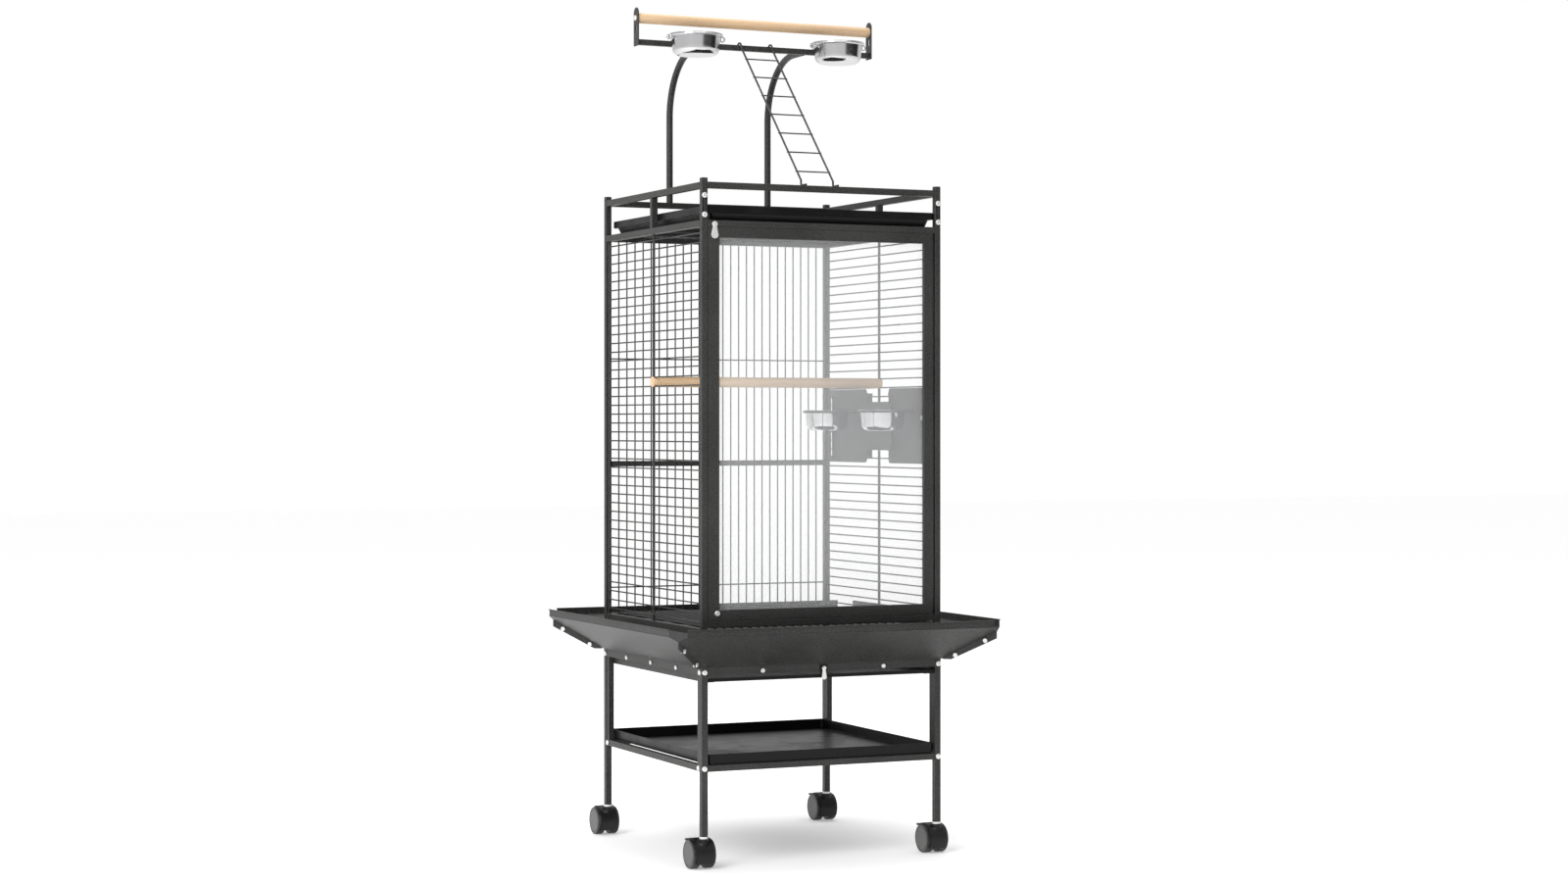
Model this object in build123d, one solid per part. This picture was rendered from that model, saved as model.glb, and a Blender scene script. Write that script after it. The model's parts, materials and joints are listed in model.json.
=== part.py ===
from build123d import *
import math
import os

# A bird cage with a play top on a wheeled stand. Millimetres. +X is the right side seen from the
# front, the front faces -Y, +Z is up. The origin is on the floor under the middle of the cage.

# driving sizes of the cage and the stand
cage_width = 457.0
cage_depth = 463.0
tube = 11.0
tube_wall = 1.2
sheet = 1.2
slip = 0.3
running = 0.05

# levels above the floor
leg_bottom = 56.0
shelf_top = 177.0
base_top = 344.0
skirt_top = 414.5
sill_top = 422.0
header_top = 1104.0
railing_top = 1169.0
post_top = 1176.0

# seed skirt
skirt_reach = 84.5
skirt_flange = 14.0
skirt_band = 11.5
corner_cut = 0.86
corner_trim = 23.0
rib_depth = 13.0
hem = 2.5

# wire panels
wire = 2.5
rod = 5.0
side_wire_gap = 16.2
back_wire_count = 26
middle_rail_low = 679.0
middle_rail_height = 10.0
back_tie_levels = (456.0, 877.5)
grate_wire = 3.0
grate_ties = 4

# door
door_stile = 21.0
door_rail = 18.0
door_skin = 1.5
pane_thickness = 3.0
pane_lap = 4.0
hinge_pin = 5.0
hinge_pin_length = 13.0

# feeder plate and its two doors
feeder_margin = 12.5
feeder_low = 686.0
feeder_high = 822.0
feeder_band_low = 710.0
feeder_band_high = 798.0
feeder_neck = 45.0
feeder_border = 9.0
feeder_open_low = 698.0
feeder_open_high = 809.0
feeder_lap = 5.0
feeder_pin = 3.0
feeder_barrel = 6.4
feeder_latch_inset = 19.0
feeder_latch_level = 768.0

# steel cups and the rings that carry them
feeder_cup_radius = 41.0
play_cup_radius = 45.0
cup_taper = 4.0
cup_round = 12.0
cup_height = 38.0
cup_lip = 2.5
cup_wall = 0.9
cup_edge = 1.2
ring_wire = 4.0
curl_wire = 2.8
curl_radius = 4.0
feeder_cup_gap = 3.8
feeder_cup_shift = 10.5
feeder_cup_level = 783.0
play_cup_left_x = -144.5
play_cup_right_x = 136.5
play_cup_gap = 13.5

# play top
bar = 10.0
bar_half = 231.0
bar_y = 61.0
bar_level = 1441.0
upright_diameter = 12.0
upright_x = 100.0
upright_bend = 115.0
back_baluster_x = 30.0
strap_width = 22.0
strap_sheet = 2.0
strap_low = 1434.0
strap_slot_rise = 19.0
strap_slot_width = 5.0
strap_slot_length = 11.0
strap_high = 1503.0
perch_diameter = 18.5
play_perch_level = 1484.0
cage_perch_level = 832.0
ladder_half = 30.7
ladder_wire = 3.5
ladder_foot_setback = 15.5
ladder_foot_height = 9.0
rung_wire = 2.5
rung_count = 7
rung_first = 33.0
rung_gap = 51.6
rung_overhang = 2.5

# trays
tray_height = 6.0
tray_floor = 318.5
tray_slack = 1.0
top_tray_height = 25.0
top_tray_band = 11.0
top_tray_step = 6.0
shelf_tray_height = 18.0
shelf_tray_flare = 1.5
finger_tab = 20.0
top_tray_flare = 5.0
tray_corner = 4.0

# casters
wheel_radius = 25.0
wheel_width = 15.0
wheel_gap = 12.0
wheel_groove = 4.0
caster_trail = 18.0
caster_pin = 8.0
collar_radius = 7.3
collar_height = 3.5
axle = 6.0
hood_sheet = 2.0
hood_gap = 0.6
hood_side = 15.5
hood_front_low = 9.0
hood_web_low = 12.0
hood_rear = 13.5
hub_radius = 12.0
boss_radius = 9.0
lever_pin = 4.0
lever_reach = 18.4
lever_rise = 15.4
lever_half = 14.0
lever_length = 16.0

# screws
bolt_head = 9.5
bolt_head_height = 2.6
screw_head = 8.0
screw_head_height = 2.2
shank = 4.0
shank_length = 4.0

half_x = cage_width / 2
half_y = cage_depth / 2
inner_x = half_x - tube
inner_y = half_y - tube
post_x = half_x - tube / 2
post_y = half_y - tube / 2
base_low = base_top - tube
header_low = header_top - tube
sill_low = sill_top - tube
panel_low = sill_low - 13.0
corners = [("front_left", -1, -1), ("front_right", 1, -1), ("back_left", -1, 1), ("back_right", 1, 1)]


def block(x0, x1, y0, y1, z0, z1):
    """A box between two corners."""
    middle = Pos((x0 + x1) / 2, (y0 + y1) / 2, (z0 + z1) / 2)
    return middle * Box(abs(x1 - x0), abs(y1 - y0), abs(z1 - z0))


def hollow_x(x0, x1, y0, y1, z0, z1):
    """A square tube that runs along X, open at its ends."""
    wall = tube_wall
    return block(x0, x1, y0, y1, z0, z1) - block(x0, x1, y0 + wall, y1 - wall, z0 + wall, z1 - wall)


def hollow_y(x0, x1, y0, y1, z0, z1):
    """A square tube that runs along Y, open at its ends."""
    wall = tube_wall
    return block(x0, x1, y0, y1, z0, z1) - block(x0 + wall, x1 - wall, y0, y1, z0 + wall, z1 - wall)


def hollow_z(x0, x1, y0, y1, z0, z1, lid=0.0):
    """A square tube that stands along Z, with its top closed by a lid of the given thickness."""
    wall = tube_wall
    bore = block(x0 + wall, x1 - wall, y0 + wall, y1 - wall, z0, z1 - lid)
    return block(x0, x1, y0, y1, z0, z1) - bore


def round_bar(start, end, diameter):
    """A round bar between two points."""
    first = Vector(*start)
    way = Vector(*end) - first
    place = Plane(origin=first + way * 0.5, z_dir=way.normalized())
    return place * Cylinder(diameter / 2, way.length)


def drill(part, holes):
    """Cuts each hole in turn, so that no cutter has to be joined to another."""
    return part - holes


def join(shapes):
    """Welds a list of touching solids into one."""
    return shapes[0] + shapes[1:]


def save(name, shapes):
    """Writes one sub-part, a single solid or several that stand apart."""
    solids = []
    for shape in shapes:
        solids += shape.solids()
    body = Compound(children=solids) if len(solids) > 1 else solids[0]
    body.label = name
    export_step(body, f"parts/{name}.step")


def mirror_x(shape):
    return mirror(shape, about=Plane.YZ)


# ---- screws ----------------------------------------------------------------------------------

def screw(point, outward, head, height):
    """A pan head screw whose head sits on the face at the point and whose shank runs inward."""
    place = Plane(origin=point, z_dir=outward)
    dome = Pos(0, 0, height / 2) * Cylinder(head / 2, height)
    dome = fillet(dome.edges().sort_by(Axis.Z)[-1], height * 0.6)
    recess = Pos(0, 0, height) * Cylinder(head * 0.16, height)
    stem = Pos(0, 0, -shank_length / 2) * Cylinder(shank / 2, shank_length)
    return place * (dome - recess + stem)


def screw_hole(point, outward):
    place = Plane(origin=point, z_dir=outward)
    return place * (Pos(0, 0, -shank_length / 2) * Cylinder(shank / 2, shank_length + 1))


def frame_screw_places():
    """Where the big screws sit: at the railing, at the base and at the shelf."""
    places = []
    levels = [railing_top - 23.0, header_top + 9.0, base_top - 8.8, shelf_top - tube / 2]
    for _, sx, sy in corners:
        for level in levels:
            places.append(((sx * (post_x + 0.5), sy * half_y, level), (0, sy, 0)))
        places.append(((sx * half_x, sy * (post_y - 3.3), base_top - 8.8), (sx, 0, 0)))
    return places


def side_screw_places():
    """The screws through the side frames beside the shelf."""
    return [((sx * (half_x - sheet), sy * (inner_y - tube / 2), shelf_top - tube / 2), (sx, 0, 0))
            for _, sx, sy in corners]


def flange_screw_places():
    """The screws through the skirt's flange into the base: two in front, three on each other side."""
    level = base_top - 8.8
    places = [((x, -half_y, level), (0, -1, 0)) for x in (-115.5, 115.5)]
    for step in (-117.0, 0.0, 117.0):
        places.append(((step, half_y, level), (0, 1, 0)))
        places.append(((-half_x, step, level), (-1, 0, 0)))
        places.append(((half_x, step, level), (1, 0, 0)))
    return places


frame_places = frame_screw_places()
side_places = side_screw_places()
flange_places = flange_screw_places()
frame_holes = [screw_hole(point, out) for point, out in frame_places]
side_holes = [screw_hole(point, out) for point, out in side_places]
flange_holes = [screw_hole(point, out) for point, out in flange_places]


# ---- stand ------------------------------------------------------------------------------------

def corner_tube(sx, sy, low, high, lid):
    x0, x1 = sorted((sx * inner_x, sx * half_x))
    y0, y1 = sorted((sy * inner_y, sy * half_y))
    return hollow_z(x0, x1, y0, y1, low, high, lid)


def near(holes, shape):
    """The holes whose boxes reach the shape's box."""
    box = shape.bounding_box()
    found = []
    for hole in holes:
        other = hole.bounding_box()
        apart = (other.min.X > box.max.X or other.max.X < box.min.X
                 or other.min.Y > box.max.Y or other.max.Y < box.min.Y
                 or other.min.Z > box.max.Z or other.max.Z < box.min.Z)
        if not apart:
            found.append(hole)
    return found


def legs():
    shapes = [corner_tube(sx, sy, leg_bottom, base_top, 0) for _, sx, sy in corners]
    return [drill(shape, near(frame_holes, shape)) for shape in shapes]


def posts():
    shapes = [corner_tube(sx, sy, base_top, post_top, tube_wall) for _, sx, sy in corners]
    return [drill(shape, near(frame_holes, shape)) for shape in shapes]


def side_frame(sx):
    """The welded frame between two legs: two uprights, the shelf's rail and the base's rail."""
    x0, x1 = sorted((sx * inner_x, sx * (half_x - sheet)))
    low = shelf_top - tube
    uprights = [hollow_z(x0, x1, min(y), max(y), low, base_top)
                for y in ((-inner_y, -inner_y + tube), (inner_y - tube, inner_y))]
    span = inner_y - tube
    rails = [hollow_y(x0, x1, -span, span, z - tube, z) for z in (shelf_top, base_top)]
    frame = join(uprights + rails)
    return drill(frame, near(side_holes + flange_holes, frame))


def shelf_rails():
    return [hollow_x(-inner_x, inner_x, *sorted((sy * inner_y, sy * half_y)), shelf_top - tube, shelf_top)
            for sy in (-1, 1)]


def base_rails():
    """The front and back rails of the base, set in by the thickness of the skirt's flange."""
    shapes = []
    for sy in (-1, 1):
        y0, y1 = sorted((sy * inner_y, sy * (half_y - sheet)))
        rail = hollow_x(-inner_x, inner_x, y0, y1, base_low, base_top)
        shapes.append(drill(rail, near(flange_holes, rail)))
    return shapes


runner_inner = inner_x - 2 * sheet - 14.0
tray_half_x = inner_x - sheet - tray_slack / 2
tray_half_y = half_y - 1.5


def tray_runner(sx):
    """An angle under each side rail that carries the waste tray."""
    outer = sx * inner_x
    wall = block(*sorted((outer, outer - sx * sheet)), -inner_y, inner_y, tray_floor - slip - sheet, base_top)
    ledge = block(*sorted((outer, sx * runner_inner)), -inner_y, inner_y,
                  tray_floor - slip - sheet, tray_floor - slip)
    angle = wall + ledge
    return drill(angle, near(flange_holes, angle))


# ---- trays --------------------------------------------------------------------------------------

def waste_tray():
    """A shallow pan with a tongue in front that carries the turning tab."""
    floor = tray_floor
    outer = block(-tray_half_x, tray_half_x, -tray_half_y, inner_y, floor, floor + tray_height)
    wall = sheet
    inner = block(-tray_half_x + wall, tray_half_x - wall, -tray_half_y + wall, inner_y - wall,
                  floor + wall, floor + tray_height)
    tongue = block(-7, 7, -half_y - slip - sheet, -half_y - slip, floor, base_top - 3)
    foot = block(-7, 7, -half_y - slip, -tray_half_y, floor, floor + sheet)
    pan = outer - inner + tongue + foot
    bore = round_bar((0, -half_y - 5, base_top - 8.8), (0, -half_y, base_top - 8.8), shank + 2 * running)
    return pan - bore


def flared_pan(x, front, back, low, high, flare, corner):
    """A thin pan whose walls lean out from the floor to the rim, with its corners cut."""
    middle = (front + back) / 2
    half = (back - front) / 2

    def outline(inset, z):
        points = []
        for sx, sy in ((1, 1), (-1, 1), (-1, -1), (1, -1)):
            first = (sx * (x - inset - corner), middle + sy * (half - inset))
            second = (sx * (x - inset), middle + sy * (half - inset - corner))
            points += [first, second] if sx * sy < 0 else [second, first]
        return Pos(0, 0, z) * make_face(Polyline(*points, close=True))

    outside = loft([outline(flare, low), outline(0, high)])
    inside = loft([outline(flare + sheet, low + sheet), outline(sheet, high)])
    return outside - inside


def shelf_tray():
    low = shelf_top + slip
    half = half_y - 3.5
    pan = flared_pan(inner_x - tray_slack, -half, half, low, low + shelf_tray_height,
                     shelf_tray_flare, tray_corner)
    tab = Cylinder(finger_tab, sheet) & Pos(0, finger_tab / 2, 0) * Box(2 * finger_tab, finger_tab, sheet)
    return pan + Pos(0, -half + sheet / 2, low + shelf_tray_height * 0.75) * tab


def top_tray():
    """The tray of the play top: a sloped pan under a step and an upright band."""
    low = header_top + slip
    shoulder = low + top_tray_height - top_tray_band
    x = inner_x - tray_slack
    front = -half_y + 2.5
    back = inner_y - 4.0
    pan = flared_pan(x - top_tray_step, front + top_tray_step, back - top_tray_step, low, shoulder,
                     top_tray_flare, tray_corner)
    rim = flared_pan(x, front, back, shoulder - sheet, low + top_tray_height, 0.0, tray_corner)
    hole = flared_block(x - top_tray_step - sheet, front + top_tray_step + sheet,
                        back - top_tray_step - sheet, shoulder - 2 * sheet, shoulder + sheet)
    return pan + (rim - hole)


def flared_block(x, front, back, low, high):
    """A plain block with the trays' cut corners."""
    corner = tray_corner
    points = [(x - corner, back), (-x + corner, back), (-x, back - corner), (-x, front + corner),
              (-x + corner, front), (x - corner, front), (x, front + corner), (x, back - corner)]
    return Pos(0, 0, low) * extrude(make_face(Polyline(*points, close=True)), high - low)


# ---- seed skirt ---------------------------------------------------------------------------------

def skirt_panel(along, out, screws_along):
    """One panel of the skirt, built facing -Y: along is half the cage's side, out its half depth."""
    band_low = skirt_top - skirt_band
    rise = band_low - base_top
    length = math.hypot(skirt_reach, rise)
    tilt = math.atan2(rise, skirt_reach)
    cut = along + corner_cut * skirt_reach
    top = along + skirt_reach - corner_trim
    outline = [(-along, 0), (along, 0), (cut, corner_cut * length), (top, length),
               (-top, length), (-cut, corner_cut * length)]
    lean = Plane(origin=(0, -out, base_top), x_dir=(1, 0, 0),
                 z_dir=(0, -math.sin(tilt), -math.cos(tilt)))
    slope = lean * extrude(make_face(Polyline(*outline, close=True)), sheet)
    edge = -out - skirt_reach
    band = block(-top, top, edge, edge + sheet, band_low - sheet, skirt_top)
    lip = block(-top, top, edge - hem, edge, skirt_top - sheet, skirt_top)
    flange = block(-inner_along(along), inner_along(along), -out, -out + sheet, base_top - skirt_flange,
                   base_top)
    joiner = block(-inner_along(along), inner_along(along), -out - sheet / 2, -out + sheet,
                   base_top - sheet / 2, base_top + sheet / 4)
    shapes = [slope, band, lip, flange, joiner]
    for side in (-1, 1):
        shapes.append(skirt_rib(side, along, out, rise))
    panel = join(shapes)
    wedge = make_face(Polyline((-along, -out), (along, -out), (along + 200, -out - 200),
                               (-along - 200, -out - 200), close=True))
    keep = Pos(0, 0, base_top - 1) * extrude(wedge, 120)
    keep = keep + block(-along, along, -out, -out + sheet, base_top - skirt_flange - 1, base_top + 1)
    panel = panel & keep
    holes = [screw_hole((x, -out, base_top - 8.8), (0, -1, 0)) for x in screws_along]
    return panel - holes - rib_bores(along, out, rise)


def inner_along(along):
    return along - tube - slip


def rib_frame(side, along, out):
    """The upright plane of a corner's seam: its X runs out along the diagonal, its Y runs up."""
    diagonal = (side * math.sqrt(0.5), -math.sqrt(0.5), 0)
    normal = (-math.sqrt(0.5), -side * math.sqrt(0.5), 0)
    return Plane(origin=(side * along, -out, base_top), x_dir=diagonal, z_dir=normal)


def skirt_rib(side, along, out, rise):
    """The folded strip that hangs under the seam at one end of a panel."""
    run = corner_cut * skirt_reach * math.sqrt(2)
    height = corner_cut * rise
    points = [(2, 0.6), (12, -4.5), (run, height - rib_depth), (run, height)]
    strip = extrude(make_face(Polyline(*points, close=True)), sheet, both=True)
    return rib_frame(side, along, out) * strip


def rib_screw_spots(rise):
    run = corner_cut * skirt_reach * math.sqrt(2)
    slope = corner_cut * rise / run
    return [(u, slope * u - 0.55 * rib_depth) for u in (0.27 * run, 0.8 * run)]


def rib_bores(along, out, rise):
    bores = []
    for side in (-1, 1):
        for u, v in rib_screw_spots(rise):
            bores.append(rib_frame(side, along, out) * (Pos(u, v, 0) * Cylinder(shank / 2, 8 * sheet)))
    return bores


def rib_screws():
    """A screw and its nut through the two strips at each of the four seams, twice."""
    rise = skirt_top - skirt_band - base_top
    shapes = []
    head = Cylinder(screw_head / 2, screw_head_height)
    for flip in (0, 180):
        for side in (-1, 1):
            for u, v in rib_screw_spots(rise):
                lift = sheet + screw_head_height / 2
                body = (Cylinder(shank / 2, 2 * sheet) + Pos(0, 0, lift) * head
                        + Pos(0, 0, -lift) * head)
                shapes.append(Rot(0, 0, flip) * (rib_frame(side, half_x, half_y) * (Pos(u, v, 0) * body)))
    return shapes


# ---- wire panels --------------------------------------------------------------------------------

def level_steps(low, high, gap):
    count = int((high - low) / gap)
    start = low + ((high - low) - (count - 1) * gap) / 2
    return [start + gap * i for i in range(count)]


def even_steps(half, count):
    gap = 2 * half / (count + 1)
    return [-half + gap * (i + 1) for i in range(count)]


def side_panel(sx):
    """Top and bottom rail, a rod at each end and in the middle, and the level wires."""
    x = sx * post_x
    x0, x1 = sorted((sx * inner_x, sx * half_x))
    shapes = [hollow_y(x0, x1, -inner_y, inner_y, header_low, header_top),
              hollow_y(x0, x1, -inner_y, inner_y, panel_low, panel_low + tube)]
    for y in (-inner_y + rod / 2, 0, inner_y - rod / 2):
        shapes.append(round_bar((x, y, panel_low + tube - 0.6), (x, y, header_low + 0.6), rod))
    reach = inner_y - rod / 2
    for z in level_steps(panel_low + tube, header_low, side_wire_gap):
        shapes.append(round_bar((x, -reach, z), (x, reach, z), wire))
    return join(shapes)


def back_panel():
    """Three rails, upright wires between them and two thin ties across the wires."""
    y = post_y
    low = panel_low + tube
    shapes = [hollow_x(-inner_x, inner_x, inner_y, half_y, header_low, header_top),
              hollow_x(-inner_x, inner_x, inner_y, half_y, panel_low, low),
              block(-inner_x, inner_x, inner_y, half_y, middle_rail_low, middle_rail_low + middle_rail_height)]
    for x in even_steps(inner_x, back_wire_count):
        shapes.append(round_bar((x, y, low - 0.6), (x, y, header_low + 0.6), wire))
    for z in back_tie_levels:
        shapes.append(round_bar((-inner_x, y, z), (inner_x, y, z), wire))
    return join(shapes)


def roof_grille():
    """Wires from the header to the back rail, on three cross rods between the side rails."""
    level = header_top - grate_wire / 2
    shapes = [round_bar((-inner_x, y, level - 3), (inner_x, y, level - 3), rod) for y in (-110, 0, 110)]
    for x in even_steps(inner_x, back_wire_count):
        shapes.append(round_bar((x, -inner_y, level), (x, inner_y, level), grate_wire))
    return join(shapes)


def grate():
    """The floor grille: its wires run under the sill and its ties end on the side rails."""
    level = sill_low - grate_wire / 2
    shapes = []
    for y in even_steps(inner_y, grate_ties):
        shapes.append(round_bar((-inner_x, y, level - 3), (inner_x, y, level - 3), rod))
    for x in even_steps(inner_x, back_wire_count):
        shapes.append(round_bar((x, -half_y, level), (x, inner_y, level), grate_wire))
    return join(shapes)


def front_rails():
    """The header and the sill of the doorway, and the front rail of the railing."""
    header = hollow_x(-inner_x, inner_x, -half_y, -inner_y, header_low, header_top)
    header = header - latch_bore()
    sill = hollow_x(-inner_x, inner_x, -half_y, -inner_y, sill_low, sill_top)
    front = hollow_x(-inner_x, inner_x, -half_y, -inner_y, railing_top - tube, railing_top)
    return [header, sill, front]


def side_railing(sx):
    x0, x1 = sorted((sx * inner_x, sx * half_x))
    rail = hollow_y(x0, x1, -inner_y, inner_y, railing_top - tube, railing_top)
    baluster = hollow_z(x0, x1, -bar / 2, bar / 2, header_top, railing_top - tube)
    return rail + baluster


def back_railing():
    rail = hollow_x(-inner_x, inner_x, inner_y, half_y, railing_top - tube, railing_top)
    baluster = hollow_z(back_baluster_x - bar / 2, back_baluster_x + bar / 2, inner_y, half_y,
                        header_top, railing_top - tube)
    return rail + baluster


# ---- door ---------------------------------------------------------------------------------------

door_thickness = tube - 0.2
door_front = -half_y + 0.1
door_back = door_front + door_thickness
door_hinge_x = inner_x - slip - door_thickness / 2
door_hinge_y = (door_front + door_back) / 2
door_left = -inner_x + slip
door_low = sill_top + 0.5
door_high = header_low - 0.5
pane_left = door_left + door_stile - pane_lap
pane_right = inner_x - slip - door_stile + pane_lap
pane_low = door_low + door_rail - pane_lap
pane_high = door_high - door_rail + pane_lap
pane_y = door_back - pane_thickness
latch_x = -inner_x + 12.5
latch_level = header_low + 4.3


def pane_block():
    return block(pane_left, pane_right, pane_y, pane_y + pane_thickness, pane_low, pane_high)


def door_frame():
    """A folded frame, open at the back, with a round edge on the hinge side."""
    outer = block(door_left, door_hinge_x, door_front, door_back, door_low, door_high)
    opening = block(door_left + door_stile, inner_x - slip - door_stile, door_front, door_back,
                    door_low + door_rail, door_high - door_rail)
    edge = round_bar((door_hinge_x, door_hinge_y, door_low), (door_hinge_x, door_hinge_y, door_high),
                     door_thickness)
    frame = outer - opening + edge
    skin = door_skin
    cavity = block(door_left + skin, door_hinge_x - door_thickness / 2 - skin, door_front + skin, door_back,
                   door_low + skin, door_high - skin)
    cavity = cavity - block(door_left + door_stile - skin, inner_x - slip - door_stile + skin,
                            door_front, door_back, door_low + door_rail - skin,
                            door_high - door_rail + skin)
    frame = frame - cavity - pane_block()
    for level, way in ((door_low, 1), (door_high, -1)):
        bore = round_bar((door_hinge_x, door_hinge_y, level - way),
                         (door_hinge_x, door_hinge_y, level + way * hinge_pin_length),
                         hinge_pin + 2 * running)
        frame = frame - bore
    return frame - screw_hole(*knob_place())


def knob_place():
    return (door_left + 17.0, door_front, door_low + 12.0), (0, -1, 0)


def door_hinge_pins():
    shapes = []
    for level, way in ((sill_top, 1), (header_low, -1)):
        shapes.append(round_bar((door_hinge_x, door_hinge_y, level),
                                (door_hinge_x, door_hinge_y, level + way * hinge_pin_length), hinge_pin))
    return shapes


def latch_bore():
    return round_bar((latch_x, -half_y - 1, latch_level), (latch_x, -half_y + 4, latch_level),
                     shank + 2 * running)


def teardrop(eye, lobe, reach):
    """The outline of a hanging latch: a round eye at the origin and a bigger round end below it."""
    face = Circle(eye / 2) + Pos(0, -reach) * Circle(lobe / 2)
    neck = Polyline((-eye * 0.3, 0), (-lobe * 0.47, -reach), (lobe * 0.47, -reach), (eye * 0.3, 0), close=True)
    return face + make_face(neck)


def swing_latch(point, outward, eye, lobe, reach, back, up=(0, 0, 1)):
    """A flat latch on its own pivot pin: back is how far the pin runs behind the plate."""
    side = Vector(*up).cross(Vector(*outward))
    place = Plane(origin=point, x_dir=side, z_dir=outward)
    plate = extrude(teardrop(eye, lobe, reach), 1.6)
    plate = fillet(plate.edges().group_by(Axis.Z)[-1], 0.4)
    boss = Pos(0, 0, 1.6 + 0.7) * Cylinder(eye * 0.36, 1.4)
    pin = Pos(0, 0, -back / 2) * Cylinder(shank / 2, back)
    return place * (plate + boss + pin)


# ---- feeder plate, its doors and the cups ----------------------------------------------------------

feeder_back_x = inner_x + 3.0
feeder_x = feeder_back_x - sheet
feeder_half = inner_y - feeder_margin
feeder_inner = feeder_neck + feeder_border
feeder_outer = feeder_half - feeder_border
feeder_latch_y = feeder_outer - feeder_latch_inset
feeder_cup_x = feeder_x - feeder_cup_radius - cup_lip - feeder_cup_gap
feeder_cup_y = (feeder_inner + feeder_outer) / 2 - feeder_cup_shift
feeder_door_x = post_x + wire / 2 + 0.35
feeder_axis_x = feeder_door_x + 3.6
feeder_axis_y = feeder_inner - feeder_lap - 3.0
lug_levels = ((feeder_open_low - 5.0, feeder_open_low - 2.0), (feeder_open_high + 2.0, feeder_open_high + 5.0))


def feeder_openings(x0, x1):
    return [block(x0, x1, *sorted((sy * feeder_inner, sy * feeder_outer)), feeder_open_low, feeder_open_high)
            for sy in (-1, 1)]


def lug_box(sy, low, high, grow):
    return block(feeder_x, feeder_axis_x + 3.0, sy * feeder_axis_y - 3 - grow, sy * feeder_axis_y + 3 + grow,
                 low - grow, high + grow)


def right_panel():
    """The right side panel, with its wires cut away where the feeder doors and their lugs are."""
    panel = side_panel(1)
    cuts = feeder_openings(inner_x, half_x)
    for sy in (-1, 1):
        for low, high in lug_levels:
            cuts.append(lug_box(sy, low, high, 0.5))
    return panel - cuts


def feeder_plate():
    """A plate with two wide ends and a narrow middle, its hinge lugs and the two hinge pins."""
    body = block(feeder_x, feeder_back_x, -feeder_half, feeder_half, feeder_low, feeder_high)
    for low, high in ((feeder_low - 1, feeder_band_low), (feeder_band_high, feeder_high + 1)):
        body = body - block(feeder_x, feeder_back_x, -feeder_neck, feeder_neck, low, high)
    notch_edges = [edge for edge in body.edges().filter_by(Axis.X)
                   if abs(abs(edge.center().Y) - feeder_neck) < 1
                   and not feeder_band_low - 1 < edge.center().Z < feeder_band_high + 1]
    body = fillet(notch_edges, 7.0)
    body = body - feeder_openings(feeder_x, feeder_back_x)
    shapes = [body]
    for sy in (-1, 1):
        for low, high in lug_levels:
            shapes.append(lug_box(sy, low, high, 0))
        y = sy * feeder_axis_y
        shapes.append(round_bar((feeder_axis_x, y, lug_levels[0][0]), (feeder_axis_x, y, lug_levels[1][1]),
                                feeder_pin))
    return join(shapes)


def cup_ring(x, y, level, cup_radius):
    """The wire ring under a cup's lip."""
    return Pos(x, y, level) * Torus(cup_radius + ring_wire / 2, ring_wire / 2)


def ring_level(cup_level):
    return cup_level - cup_edge - slip - ring_wire / 2


def feeder_door(sy):
    """The door's sheet with its hinge barrel, and the ring for the cup on its inner side."""
    y0, y1 = sorted((sy * feeder_axis_y, sy * (feeder_outer + feeder_lap)))
    low = lug_levels[0][1] + slip
    high = lug_levels[1][0] - slip
    sheet_part = block(feeder_door_x, feeder_door_x + sheet, y0, y1, low, high)
    axis = (feeder_axis_x, sy * feeder_axis_y)
    barrel = round_bar((*axis, low), (*axis, high), feeder_barrel)
    bore = round_bar((*axis, low - 1), (*axis, high + 1), feeder_pin + 2 * running)
    level = ring_level(feeder_cup_level)
    ring = cup_ring(feeder_cup_x, sy * feeder_cup_y, level, feeder_cup_radius)
    ring_radius = feeder_cup_radius + ring_wire / 2
    shapes = [sheet_part, barrel, ring]
    for offset in (-20.0, 20.0):
        start = feeder_cup_x + math.sqrt(ring_radius ** 2 - offset ** 2)
        y = sy * feeder_cup_y + offset
        shapes.append(round_bar((start, y, level), (feeder_door_x + 0.6, y, level), ring_wire))
    turn = round_bar((feeder_door_x - 1, sy * feeder_latch_y, feeder_latch_level),
                     (feeder_door_x + 3, sy * feeder_latch_y, feeder_latch_level), shank + 2 * running)
    return join(shapes) - bore - turn


def feeder_latch(sy):
    """A turning tongue behind the plate's edge, on a pin through the door with a knob outside."""
    plate_face = feeder_x - slip
    place = Plane(origin=(plate_face, sy * feeder_latch_y, feeder_latch_level), x_dir=(0, 0, -sy),
                  z_dir=(-1, 0, 0))
    tongue = extrude(teardrop(9.0, 10.0, 22.0), 1.6)
    reach = feeder_door_x + sheet - plate_face
    pin = Pos(0, 0, -(reach + slip) / 2) * Cylinder(shank / 2, reach + slip)
    knob = Pos(0, 0, -(reach + slip) - 2.0) * Cylinder(6.0, 4.0)
    return place * (tongue + pin + knob)


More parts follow.
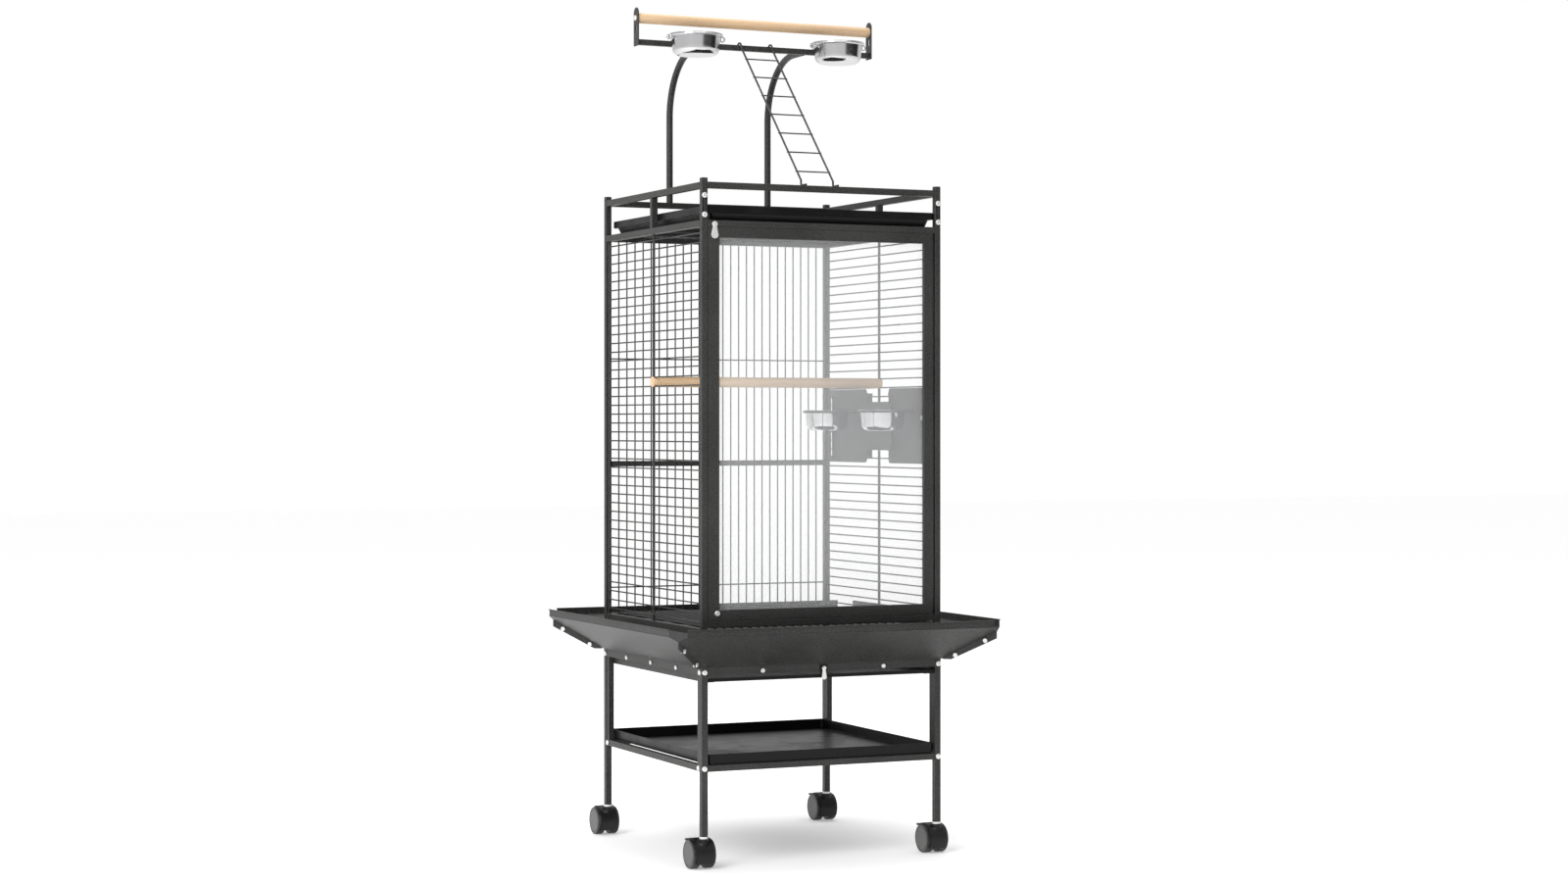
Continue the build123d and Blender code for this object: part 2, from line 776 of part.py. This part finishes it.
def cup(x, y, level, radius):
    """A round steel cup with a rolled lip, its lip's top at the level."""
    bottom = level - cup_height
    wall = cup_wall
    base = radius - cup_taper
    top = radius - slip - wall / 2
    outer = loft([Pos(0, 0, bottom) * Circle(base).face(), Pos(0, 0, level) * Circle(top).face()])
    outer = fillet(outer.edges().sort_by(Axis.Z)[0], cup_round)
    inner = loft([Pos(0, 0, bottom + wall) * Circle(base - wall).face(),
                  Pos(0, 0, level) * Circle(top - wall).face()])
    inner = fillet(inner.edges().sort_by(Axis.Z)[0], cup_round - wall)
    lip = Pos(0, 0, level - cup_edge / 2) * Cylinder(radius + cup_lip, cup_edge)
    lip = fillet(lip.edges().filter_by(GeomType.CIRCLE), cup_edge * 0.4)
    return Pos(x, y, 0) * (outer + lip - inner)


# ---- play top -----------------------------------------------------------------------------------

bar_top = bar_level + bar / 2
play_ring_level = bar_top + ring_wire / 2
play_cup_y = bar_y - bar / 2 - play_cup_radius - cup_lip - play_cup_gap
play_cup_level = play_ring_level + ring_wire / 2 + slip + cup_edge


def play_upright(sx):
    """A round tube that stands on the back rail and bends forward to the crossbar."""
    x = sx * upright_x
    path = FilletPolyline((x, post_y, railing_top), (x, post_y, bar_level), (x, bar_y + bar / 2, bar_level),
                          radius=upright_bend)
    start = Plane(origin=(x, post_y, railing_top), z_dir=(0, 0, 1))
    outside = sweep(start * Circle(upright_diameter / 2), path=path)
    inside = sweep(start * Circle(upright_diameter / 2 - tube_wall), path=path)
    return outside - inside


def crossbar():
    y0 = bar_y - bar / 2
    return hollow_x(-bar_half, bar_half, y0, y0 + bar, bar_level - bar / 2, bar_top)


def perch_strap(sx):
    """A flat strap on the end of the crossbar, round on top, with a slot under the perch."""
    face = make_face(Polyline((-strap_width / 2, strap_low), (strap_width / 2, strap_low),
                              (strap_width / 2, strap_high - strap_width / 2),
                              (-strap_width / 2, strap_high - strap_width / 2), close=True))
    face = face + Pos(0, strap_high - strap_width / 2) * Circle(strap_width / 2)
    face = face - Pos(0, bar_top + strap_slot_rise) * Rectangle(strap_slot_width, strap_slot_length)
    plate = extrude(Plane(origin=(0, bar_y, 0), x_dir=(0, 1, 0), z_dir=(1, 0, 0)) * face, strap_sheet)
    plate = Pos(bar_half, 0, 0) * plate
    hole = round_bar((bar_half - 1, bar_y, play_perch_level), (bar_half + 5, bar_y, play_perch_level), shank)
    plate = plate - hole
    return plate if sx > 0 else mirror_x(plate)


def play_perch():
    perch = round_bar((-bar_half, bar_y, play_perch_level), (bar_half, bar_y, play_perch_level),
                      perch_diameter)
    holes = [screw_hole((sx * bar_half, bar_y, play_perch_level), (sx, 0, 0)) for sx in (-1, 1)]
    return perch - holes


def perch_screws():
    shapes = []
    for sx in (-1, 1):
        point = (sx * (bar_half + strap_sheet), bar_y, play_perch_level)
        shapes.append(screw(point, (sx, 0, 0), bolt_head, bolt_head_height))
    return shapes


def cage_perch(panels):
    """The perch inside: its ends are notched over the middle rods and the wires of the sides."""
    reach = post_x + rod / 2 + 0.5
    perch = round_bar((-reach, 0, cage_perch_level), (reach, 0, cage_perch_level), perch_diameter)
    return perch - panels


def play_cup_ring(x):
    """A ring with two arms that hook over the crossbar, and a curled end on each side."""
    ring_radius = play_cup_radius + ring_wire / 2
    shapes = [cup_ring(x, play_cup_y, play_ring_level, play_cup_radius)]
    back = bar_y + bar / 2 + ring_wire / 2
    for offset in (-16.0, 16.0):
        start = play_cup_y + math.sqrt(ring_radius ** 2 - offset ** 2)
        corner = (x + offset, back, play_ring_level)
        shapes.append(round_bar((x + offset, start, play_ring_level), corner, ring_wire))
        shapes.append(Pos(*corner) * Sphere(ring_wire / 2))
        shapes.append(round_bar(corner, (x + offset, back, play_ring_level - 11.0), ring_wire))
    for side in (-1, 1):
        reach = ring_radius + curl_radius + 0.15 * curl_radius
        curl = Pos(x + side * reach, play_cup_y, play_ring_level - 0.8 * curl_radius)
        shapes.append(curl * (Rot(90, 0, 0) * Torus(curl_radius, curl_wire / 2)))
    return join(shapes)


hook_radius = bar / 2 * math.sqrt(2) + slip + ladder_wire / 2
ladder_top_y = bar_y - hook_radius
foot_y = -inner_y + ladder_foot_setback
foot_level = railing_top + ladder_wire / 2 + slip
knee_level = foot_level + ladder_foot_height


def ladder():
    """Two side wires with rungs. Each side wire hooks over the crossbar and rests a bent foot on the rail."""
    length = math.hypot(ladder_top_y - foot_y, bar_level - knee_level)
    step_y = (foot_y - ladder_top_y) / length
    step_z = (knee_level - bar_level) / length
    shapes = []
    for side in (-1, 1):
        x = side * ladder_half
        path = FilletPolyline((x, ladder_top_y, bar_level), (x, foot_y, knee_level), (x, foot_y, foot_level),
                              (x, -half_y + tube / 2, foot_level), radius=ladder_wire)
        start = Plane(origin=(x, ladder_top_y, bar_level), z_dir=(0, step_y, step_z))
        shapes.append(sweep(start * Circle(ladder_wire / 2), path=path))
        shapes.append(Pos(x, ladder_top_y, bar_level) * Sphere(ladder_wire / 2))
        shapes.append(ladder_hook(x))
    end = ladder_half + rung_overhang
    for i in range(rung_count):
        far = rung_first + rung_gap * i
        y = ladder_top_y + step_y * far
        z = bar_level + step_z * far
        shapes.append(round_bar((-end, y, z), (end, y, z), rung_wire))
    return join(shapes)


def ladder_hook(x):
    """Three quarters of a ring around the crossbar, open below."""
    ring = Pos(x, bar_y, bar_level) * (Rot(0, 90, 0) * Torus(hook_radius, ladder_wire / 2))
    opening = block(x - 5, x + 5, bar_y - hook_radius * 2, bar_y + hook_radius * 2,
                    bar_level - hook_radius * 2, bar_level)
    return ring - opening


# ---- casters ------------------------------------------------------------------------------------

caster_top = leg_bottom - collar_height
hood_half = wheel_gap / 2 - slip
wheel_outer = wheel_gap / 2 + wheel_width
socket_low = wheel_radius + 11.0


def caster_stem():
    """The collar under the leg, the pin up into the tube and the swivel pin below."""
    collar = Pos(0, 0, leg_bottom - collar_height / 2) * Cylinder(collar_radius, collar_height)
    upper = Pos(0, 0, leg_bottom + 12) * Cylinder(tube / 2 - tube_wall - 0.05, 24)
    lower = Pos(0, 0, (caster_top + socket_low + 2) / 2) * Cylinder(caster_pin / 2, caster_top - socket_low - 2)
    return collar + upper + lower


def across(radius, half):
    """A cylinder on the wheels' axis, half its width to each side."""
    return Pos(0, caster_trail, wheel_radius) * (Rot(0, 90, 0) * Cylinder(radius, 2 * half))


def caster_hood(with_lever):
    """The web between the wheels, the cover over their front and top, and the swivel pin's socket."""
    cover_outer = wheel_radius + hood_gap + hood_sheet
    front = caster_trail - cover_outer - 1
    rear = caster_trail + hood_rear
    high = wheel_radius + cover_outer + 1
    cover = across(cover_outer, hood_side) - across(cover_outer - hood_sheet, hood_side)
    cover = cover & block(-hood_side, hood_side, front, rear, hood_front_low, high)
    web = across(cover_outer, hood_half) & block(-hood_half, hood_half, front, rear, hood_web_low, high)
    top = caster_top - slip
    socket = Pos(0, 0, (top + socket_low) / 2) * Cylinder(hood_half, top - socket_low)
    boss_low = wheel_radius + math.sqrt(wheel_radius ** 2 - (caster_trail - boss_radius) ** 2) + hood_gap
    boss = Pos(0, 0, (top + boss_low) / 2) * Cylinder(boss_radius, top - boss_low)
    body = across(hub_radius, hood_half) + web + cover + socket + boss
    bore = Pos(0, 0, caster_top) * Cylinder(caster_pin / 2 + running, 2 * (caster_top - socket_low - 1.7))
    body = body - bore - across(axle / 2 + running, 2 * hood_half)
    if with_lever:
        y, z = lever_spot()
        lug = block(-3, 3, caster_trail, y, z - 4, z + 1.5)
        lug = lug + Pos(0, y, z) * (Rot(0, 90, 0) * Cylinder(4.0, 6.0))
        body = body + lug - Pos(0, y, z) * (Rot(0, 90, 0) * Cylinder(lever_pin / 2 + running, 8.0))
    return body


def lever_spot():
    """The brake lever's pivot: its Y and Z in a caster's own place."""
    return caster_trail + lever_reach, wheel_radius + lever_rise


def brake_lever():
    """Two arms on a pin between the wheels and a wide pad behind and above them."""
    y, z = lever_spot()
    inside = 3 + slip
    outside = hood_half - 0.2
    pin = Pos(0, y, z) * (Rot(0, 90, 0) * Cylinder(lever_pin / 2, 2 * outside))
    arms = [block(*sorted((side * inside, side * outside)), y - 2, y + 6, z - 2.2, z + 5.5) for side in (-1, 1)]
    pad = block(-lever_half, lever_half, y + 3.5, y + lever_length, z + 4.2, z + 7.0)
    pad = fillet(pad.edges().filter_by(Axis.Z), 3.0)
    return join([pin] + arms + [pad])


def caster_wheels():
    """Two wheels on one axle, each with a rounded tread and a groove around its outer face."""
    shapes = [Rot(0, 90, 0) * Cylinder(axle / 2, 2 * wheel_outer - 4)]
    groove_radius = wheel_radius - wheel_groove
    for side in (-1, 1):
        disc = Rot(0, 90, 0) * Cylinder(wheel_radius, wheel_width)
        disc = fillet(disc.edges().filter_by(GeomType.CIRCLE), 2.2)
        groove = Rot(0, 90, 0) * (Cylinder(groove_radius + 0.6, 1.6) - Cylinder(groove_radius - 0.6, 1.6))
        disc = disc - Pos(side * wheel_width / 2, 0, 0) * groove
        shapes.append(Pos(side * (wheel_gap + wheel_width) / 2, 0, 0) * disc)
    return join(shapes)


def at_caster(shape, sx, sy):
    return Pos(sx * post_x, sy * post_y, 0) * shape


def main():
    os.makedirs("parts", exist_ok=True)
    save("legs", legs())
    save("posts", posts())
    save("stand_sides", [side_frame(-1), side_frame(1)])
    save("shelf_rails", shelf_rails())
    save("base_rails", base_rails())
    save("tray_runners", [tray_runner(-1), tray_runner(1)])

    save("skirt_front", [skirt_panel(half_x, half_y, (-115.5, 115.5))])
    save("skirt_back", [Rot(0, 0, 180) * skirt_panel(half_x, half_y, (-117.0, 0.0, 117.0))])
    save("skirt_left", [Rot(0, 0, -90) * skirt_panel(half_y, half_x, (-117.0, 0.0, 117.0))])
    save("skirt_right", [Rot(0, 0, 90) * skirt_panel(half_y, half_x, (-117.0, 0.0, 117.0))])

    save("grate", [grate()])
    save("front_rails", front_rails())
    left = side_panel(-1)
    right = right_panel()
    save("left_panel", [left])
    save("right_panel", [right])
    save("back_panel", [back_panel()])
    save("roof_grille", [roof_grille()])
    save("railing_left", [side_railing(-1)])
    save("railing_right", [side_railing(1)])
    save("railing_back", [back_railing()])

    save("play_uprights", [play_upright(-1), play_upright(1)])
    save("crossbar", [crossbar()])
    save("perch_straps", [perch_strap(-1), perch_strap(1)])
    save("play_cup_rings", [play_cup_ring(play_cup_left_x), play_cup_ring(play_cup_right_x)])
    save("play_perch", [play_perch()])
    save("perch_screws", perch_screws())
    save("cage_perch", [cage_perch([left, right])])

    big = [screw(point, out, bolt_head, bolt_head_height) for point, out in frame_places + side_places]
    small = [screw(point, out, screw_head, screw_head_height) for point, out in flange_places]
    save("frame_screws", big)
    save("skirt_screws", small + rib_screws())
    save("caster_stems", [at_caster(caster_stem(), sx, sy) for _, sx, sy in corners])

    save("shelf_tray", [shelf_tray()])
    save("waste_tray", [waste_tray()])
    save("top_tray", [top_tray()])
    save("tray_tab", [swing_latch((0, -half_y - slip - sheet - slip, base_top - 8.8), (0, -1, 0),
                                  8.0, 9.5, 15.0, sheet + slip + 0.2)])

    save("door_frame", [door_frame()])
    save("door_pane", [pane_block()])
    save("door_pins", door_hinge_pins())
    save("door_latch", [swing_latch((latch_x, -half_y - slip, latch_level), (0, -1, 0),
                                    10.0, 13.0, 18.0, slip + 3.0)])
    save("door_knob", [screw(*knob_place(), 10.0, 3.0)])

    save("feeder_plate", [feeder_plate()])
    for name, sy in (("front", -1), ("back", 1)):
        save(f"feeder_door_{name}", [feeder_door(sy)])
        save(f"feeder_latch_{name}", [feeder_latch(sy)])
        save(f"feeder_cup_{name}", [cup(feeder_cup_x, sy * feeder_cup_y, feeder_cup_level, feeder_cup_radius)])
    for name, x in (("left", play_cup_left_x), ("right", play_cup_right_x)):
        save(f"play_cup_{name}", [cup(x, play_cup_y, play_cup_level, play_cup_radius)])
    save("ladder", [ladder()])

    for name, sx, sy in corners:
        braked = name != "back_left"
        save(f"caster_hood_{name}", [at_caster(caster_hood(braked), sx, sy)])
        save(f"caster_wheels_{name}", [at_caster(Pos(0, caster_trail, wheel_radius) * caster_wheels(), sx, sy)])
        if braked:
            save(f"brake_lever_{name}", [at_caster(brake_lever(), sx, sy)])


main()
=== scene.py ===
import json
import math

import bpy
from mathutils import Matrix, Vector

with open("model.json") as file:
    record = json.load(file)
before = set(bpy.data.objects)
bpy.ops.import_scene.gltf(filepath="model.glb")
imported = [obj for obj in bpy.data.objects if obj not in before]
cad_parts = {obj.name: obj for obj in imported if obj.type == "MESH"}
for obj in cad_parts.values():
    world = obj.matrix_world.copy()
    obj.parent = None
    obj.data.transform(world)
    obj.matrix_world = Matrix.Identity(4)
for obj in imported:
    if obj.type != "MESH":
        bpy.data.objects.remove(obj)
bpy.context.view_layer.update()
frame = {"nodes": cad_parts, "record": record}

nodes = frame["nodes"]
print("frame loaded:", len(nodes), "nodes")


view = {
    "place": (-2.1056, -4.6628, 0.7555),
    "turn": -24.6155,          # degrees from straight along +Y
    "lens": 65.1,
    "shiftY": -0.0102,
    "sensor": 36,
    "near": 0.05,
    "far": 60,
}

camera = bpy.data.objects.new("camera", bpy.data.cameras.new("camera"))
camera.location = view["place"]
camera.rotation_euler = (math.radians(90), 0, math.radians(view["turn"]))
camera.data.lens = view["lens"]
camera.data.sensor_width = view["sensor"]
camera.data.shift_y = view["shiftY"]
camera.data.clip_start = view["near"]
camera.data.clip_end = view["far"]
bpy.context.scene.collection.objects.link(camera)
bpy.context.scene.camera = camera
print("camera set")


class Value:
    # a node's output that can stand in a sum
    def __init__(self, paint, socket):
        self.paint = paint
        self.socket = socket

    def maths(self, operation, first, second):
        return self.paint.add("ShaderNodeMath", {"operation": operation}, {0: first, 1: second})

    def __add__(self, other):
        return self.maths("ADD", self, other)

    def __sub__(self, other):
        return self.maths("SUBTRACT", self, other)

    def __rsub__(self, other):
        return self.maths("SUBTRACT", other, self)

    def __mul__(self, other):
        return self.maths("MULTIPLY", self, other)

    def __abs__(self):
        return self.maths("ABSOLUTE", self, 0)

    __radd__ = __add__
    __rmul__ = __mul__


class Paint:
    # the nodes of one material, or of the studio's sky
    def __init__(self, owner):
        self.owner = owner
        owner.use_nodes = True
        self.tree = owner.node_tree
        self.tree.nodes.clear()

    def add(self, kind, settings=None, values=None, output=0):
        node = self.tree.nodes.new(kind)
        for key, setting in (settings or {}).items():
            if key == "stops":
                ramp = node.color_ramp
                while len(ramp.elements) < len(setting):
                    ramp.elements.new(0.5)
                for element, (place, shade) in zip(ramp.elements, setting):
                    element.position = place
                    element.color = (shade, shade, shade, 1)
            else:
                setattr(node, key, setting)
        for key, value in (values or {}).items():
            if isinstance(value, Value):
                self.tree.links.new(value.socket, node.inputs[key])
            else:
                node.inputs[key].default_value = value
        return Value(self, node.outputs[output])

    def place(self, scale=(1, 1, 1)):
        # metres in the object's own frame, stretched by scale
        spot = self.add("ShaderNodeTexCoord", output=3)
        return self.add("ShaderNodeVectorMath", {"operation": "MULTIPLY"}, {0: spot, 1: scale})

    def noise(self, spot, scale, detail=2.0, rough=0.5, twist=0.0):
        return self.add("ShaderNodeTexNoise", {}, {"Vector": spot, "Scale": scale, "Detail": detail,
                                                    "Roughness": rough, "Distortion": twist})

    def ramp(self, value, *stops):
        return self.add("ShaderNodeValToRGB", {"stops": stops}, {"Fac": value})

    def blend(self, factor, first, second):
        return self.add("ShaderNodeMix", {"data_type": "RGBA"},
                        {0: factor, 6: (*first, 1) if isinstance(first, tuple) else first,
                         7: (*second, 1) if isinstance(second, tuple) else second}, output=2)

    def bump(self, height, distance, strength=1.0, under=None):
        values = {"Height": height, "Distance": distance, "Strength": strength}
        if under is not None:
            values["Normal"] = under
        return self.add("ShaderNodeBump", {}, values)

    def roundEdge(self, radius):
        return self.add("ShaderNodeBevel", {"samples": 4}, {"Radius": radius})

    def finish(self, **values):
        # the named sockets of the main shader, with spaces put back in
        named = {key.replace("_", " "): value for key, value in values.items()}
        for key, value in named.items():
            if key == "Base Color" and isinstance(value, tuple):
                named[key] = (*value, 1)
        surface = self.add("ShaderNodeBsdfPrincipled", {}, named)
        end = self.tree.nodes.new("ShaderNodeOutputMaterial")
        self.tree.links.new(surface.socket, end.inputs["Surface"])
        return self.owner


powderCoat = {
    "dark": (0.011, 0.011, 0.0105),
    "light": (0.042, 0.042, 0.0405),
    "grain": 380,              # hammer marks to the metre
    "depth": 0.0003,
    "edge": 0.0008,
    "rough": (0.36, 0.56),
    "gloss": 0.4,
}


def makePowderCoat(name, look):
    paint = Paint(bpy.data.materials.new(name))
    spot = paint.place()
    marks = paint.noise(spot, look["grain"], 1.0, 0.45)
    cloud = paint.noise(spot, 9, 3.0)
    fine = paint.noise(spot, look["grain"] * 3.1, 2.0)
    mixed = paint.ramp(marks * 0.7 + cloud * 0.3, (0.36, 0.0), (0.64, 1.0))
    low, high = look["rough"]
    edge = paint.roundEdge(look["edge"])
    return paint.finish(Base_Color=paint.blend(mixed, look["dark"], look["light"]),
                        Roughness=fine * (high - low) + low,
                        Specular_IOR_Level=look["gloss"],
                        Normal=paint.bump(marks * 0.8 + fine * 0.2, look["depth"], 0.8, edge))


trayPlastic = {
    "colour": (0.0035, 0.0035, 0.0037),
    "dust": (0.013, 0.013, 0.0125),
    "grain": 1500,
    "depth": 0.00005,
    "rough": (0.34, 0.5),
    "gloss": 0.2,
}


def makeMouldedPlastic(name, look):
    paint = Paint(bpy.data.materials.new(name))
    spot = paint.place()
    grain = paint.noise(spot, look["grain"], 2.0)
    smear = paint.ramp(paint.noise(spot, 14, 5.0, 0.62, 0.6), (0.45, 0.0), (0.75, 1.0))
    low, high = look["rough"]
    return paint.finish(Base_Color=paint.blend(smear * 0.35, look["colour"], look["dust"]),
                        Roughness=smear * (high - low) + low,
                        Specular_IOR_Level=look["gloss"],
                        Normal=paint.bump(grain, look["depth"], 0.6, paint.roundEdge(0.0006)))


beech = {
    "pale": (0.74, 0.53, 0.335),
    "warm": (0.60, 0.405, 0.235),
    "fleck": (0.42, 0.26, 0.14),
    "rough": (0.48, 0.66),
}


def makeBeech(name, look):
    # grain runs along X, the way both perches lie
    paint = Paint(bpy.data.materials.new(name))
    rings = paint.noise(paint.place((5, 160, 160)), 1.0, 4.0, 0.6, 0.7)
    fibre = paint.noise(paint.place((24, 1400, 1400)), 1.0, 3.0)
    fleck = paint.ramp(paint.noise(paint.place((90, 900, 900)), 1.0, 1.0), (0.62, 0.0), (0.72, 1.0))
    base = paint.blend(paint.ramp(rings, (0.3, 0.0), (0.72, 1.0)), look["pale"], look["warm"])
    low, high = look["rough"]
    return paint.finish(Base_Color=paint.blend(fleck * 0.45, base, look["fleck"]),
                        Roughness=fibre * (high - low) + low,
                        Specular_IOR_Level=0.4,
                        Normal=paint.bump(fibre * 0.6 + rings * 0.4, 0.00018, 0.7, paint.roundEdge(0.001)))


nickel = {
    "colour": (0.93, 0.92, 0.90),
    "rough": (0.28, 0.44),
    "scratch": 1900,
    "metal": 0.65,
}


def makeNickel(name, look):
    paint = Paint(bpy.data.materials.new(name))
    scratch = paint.noise(paint.place((1, 1, 0.2)), look["scratch"], 2.0)
    cloud = paint.noise(paint.place(), 160, 2.0)
    low, high = look["rough"]
    darker = tuple(part * 0.82 for part in look["colour"])
    return paint.finish(Base_Color=paint.blend(cloud, darker, look["colour"]),
                        Roughness=scratch * (high - low) + low,
                        Metallic=look["metal"],
                        Normal=paint.bump(scratch, 0.00003, 0.5, paint.roundEdge(0.0005)))


zinc = {
    "colour": (0.92, 0.92, 0.90),
    "rough": (0.34, 0.5),
    "scratch": 1400,
    "metal": 0.4,
}


polishedSteel = {
    "colour": (0.60, 0.60, 0.61),
    "smudged": (0.50, 0.50, 0.505),
    "rough": (0.08, 0.18),
}


def makePolishedSteel(name, look):
    paint = Paint(bpy.data.materials.new(name))
    spun = paint.noise(paint.place((30, 30, 2600)), 1.0, 2.0)
    smudge = paint.ramp(paint.noise(paint.place(), 42, 4.0, 0.6), (0.42, 0.0), (0.7, 1.0))
    low, high = look["rough"]
    return paint.finish(Base_Color=paint.blend(smudge * 0.25, look["colour"], look["smudged"]),
                        Roughness=spun * (high - low) * 0.5 + smudge * (high - low) * 0.5 + low,
                        Metallic=1.0,
                        Normal=paint.bump(spun, 0.00002, 0.4))


acrylic = {
    "haze": (0.93, 0.94, 0.95),
    "veil": (0.14, 0.18),      # least and most of the white veil
    "rough": 0.13,
}


def makeAcrylic(name, look):
    paint = Paint(bpy.data.materials.new(name))
    wipe = paint.noise(paint.place((6, 6, 2.2)), 1.0, 4.0, 0.55, 0.8)
    low, high = look["veil"]
    return paint.finish(Base_Color=look["haze"],
                        Alpha=wipe * (high - low) + low,
                        Roughness=wipe * 0.06 + look["rough"],
                        IOR=1.49)


casterNylon = {
    "colour": (0.009, 0.009, 0.0095),
    "dust": (0.028, 0.0275, 0.027),
    "grain": 1300,
    "depth": 0.00006,
    "rough": (0.42, 0.58),
    "gloss": 0.3,
}

wheelNylon = {
    "tread": (0.012, 0.012, 0.0125),
    "disc": (0.115, 0.115, 0.113),
    "dust": (0.20, 0.195, 0.19),
    "grain": 900,
    "depth": 0.0001,
    "rough": (0.46, 0.64),
    "gloss": 0.35,
}


def makeWheelNylon(name, look):
    # dark treads, and grey side discs where the face looks along the axle
    paint = Paint(bpy.data.materials.new(name))
    spot = paint.place()
    facing = paint.add("ShaderNodeSeparateXYZ", {}, {"Vector": paint.add("ShaderNodeTexCoord", output=1)})
    disc = paint.ramp(abs(facing), (0.90, 0.0), (0.96, 1.0))
    smear = paint.ramp(paint.noise(spot, 60, 4.0, 0.6, 0.5), (0.45, 0.0), (0.75, 1.0))
    grain = paint.noise(spot, look["grain"], 2.0)
    base = paint.blend(disc, look["tread"], look["disc"])
    low, high = look["rough"]
    return paint.finish(Base_Color=paint.blend(smear * 0.3, base, look["dust"]),
                        Roughness=smear * (high - low) + low,
                        Specular_IOR_Level=look["gloss"],
                        Normal=paint.bump(grain, look["depth"], 0.6, paint.roundEdge(0.0006)))


print("finishes defined")


coat = makePowderCoat("frameCoat", powderCoat)
blackTray = makeMouldedPlastic("trayPlastic", trayPlastic)
wood = makeBeech("beech", beech)
plated = makeNickel("nickelPlate", nickel)
stemZinc = makeNickel("stemZinc", zinc)
steel = makePolishedSteel("cupSteel", polishedSteel)
clear = makeAcrylic("clearAcrylic", acrylic)
nylon = makeMouldedPlastic("casterNylon", casterNylon)
tread = makeWheelNylon("wheelNylon", wheelNylon)

finishOfSlot = {
    "frame_coat": coat,
    "tray_plastic": blackTray,
    "wood": wood,
    "screw_steel": plated,
    "cup_steel": steel,
    "pane": clear,
    "caster_plastic": nylon,
    "wheel_plastic": tread,
}

rounding = {
    "weld": 0.000002,
    "segments": 2,
    "angle": 50,               # degrees, below which an edge is left alone
}

edgeWidths = {                 # metres of rounding on each node's hard edges
    "legs": 0.0011, "posts": 0.0011, "shelf_rails": 0.0009, "base_rails": 0.0009, "stand_sides": 0.0009,
    "front_rails": 0.0009, "crossbar": 0.0009, "railing_left": 0.0009, "railing_right": 0.0009,
    "railing_back": 0.0009, "perch_straps": 0.0005, "door_frame": 0.0009, "door_pane": 0.0004,
    "play_perch": 0.0012, "cage_perch": 0.0012, "shelf_tray": 0.0004, "waste_tray": 0.0004,
    "top_tray": 0.0004, "skirt_front": 0.0003, "skirt_back": 0.0003, "skirt_left": 0.0003,
    "skirt_right": 0.0003, "tray_runners": 0.0003,
}


def dressNodes():
    for part in frame["record"]["subparts"]:
        node = nodes[part["node"]]
        node.data.materials.clear()
        finish = stemZinc if part["node"] == "caster_stems" else finishOfSlot[part["material_slot"]]
        node.data.materials.append(finish)
        width = edgeWidths.get(part["node"])
        weld = node.modifiers.new("weld", "WELD")
        weld.merge_threshold = rounding["weld"]
        if width:
            bevel = node.modifiers.new("roundEdges", "BEVEL")
            bevel.width = width
            bevel.segments = rounding["segments"]
            bevel.limit_method = "ANGLE"
            bevel.angle_limit = math.radians(rounding["angle"])


dressNodes()
print("nodes dressed")


studio = {
    "floorSize": 40.0,
    "floorShade": 0.90,
    "floorGlow": 0.3,            # lifts the paper to white far from the lamps
    "skyPower": 0.80,
    "skyDark": 0.03,             # what is left of the sky on its dark side
    "darkSide": (0.77, -0.63, 0.0),
    "lights": {                  # place, aim, size, watts
        "key": ((-3.4, -2.2, 3.2), (0, 0, 0.8), 2.2, 120),
        "top": ((0.3, 0.6, 4.2), (0, 0, 0.6), 2.4, 70),
    },
}


def makeFloor():
    mesh = bpy.data.meshes.new("floor")
    half = studio["floorSize"] / 2
    corners = [(-half, -half, 0), (half, -half, 0), (half, half, 0), (-half, half, 0)]
    mesh.from_pydata(corners, [], [(0, 1, 2, 3)])
    floor = bpy.data.objects.new("floor", mesh)
    bpy.context.scene.collection.objects.link(floor)
    paint = Paint(bpy.data.materials.new("floorPaper"))
    mottle = paint.noise(paint.place(), 3.0, 4.0)
    shade = studio["floorShade"]
    worn = (shade * 0.97, shade * 0.97, shade * 0.965)
    floor.data.materials.append(paint.finish(
        Base_Color=paint.blend(mottle * 0.3, (shade, shade, shade), worn),
        Roughness=0.85,
        Emission_Color=(1, 1, 1, 1),
        Emission_Strength=studio["floorGlow"]))


def makeSky():
    # a bright tent with a dark opening on one side, and plain white behind the cage
    world = bpy.data.worlds.new("studio")
    paint = Paint(world)
    towards = paint.add("ShaderNodeVectorMath", {"operation": "DOT_PRODUCT"},
                        {0: paint.add("ShaderNodeTexCoord"), 1: studio["darkSide"]}, output=1)
    shade = paint.ramp(towards * 0.5 + 0.5, (0.86, 1.0), (0.92, studio["skyDark"]))
    tent = paint.add("ShaderNodeBackground", {}, {"Color": shade, "Strength": studio["skyPower"]})
    paper = paint.add("ShaderNodeBackground", {}, {"Color": (1, 1, 1, 1), "Strength": 1.0})
    seen = paint.add("ShaderNodeLightPath")
    mixed = paint.add("ShaderNodeMixShader", {}, {0: seen, 1: tent, 2: paper})
    end = paint.tree.nodes.new("ShaderNodeOutputWorld")
    paint.tree.links.new(mixed.socket, end.inputs["Surface"])
    bpy.context.scene.world = world


def makeLights():
    for name, (place, aim, size, watts) in studio["lights"].items():
        lamp = bpy.data.lights.new(name, "AREA")
        lamp.size = size
        lamp.energy = watts
        holder = bpy.data.objects.new(name, lamp)
        holder.location = place
        holder.rotation_euler = (Vector(aim) - Vector(place)).to_track_quat("-Z", "Y").to_euler()
        bpy.context.scene.collection.objects.link(holder)


makeFloor()
makeSky()
makeLights()
bpy.context.scene.view_settings.view_transform = "Standard"
print("floor and lights set")
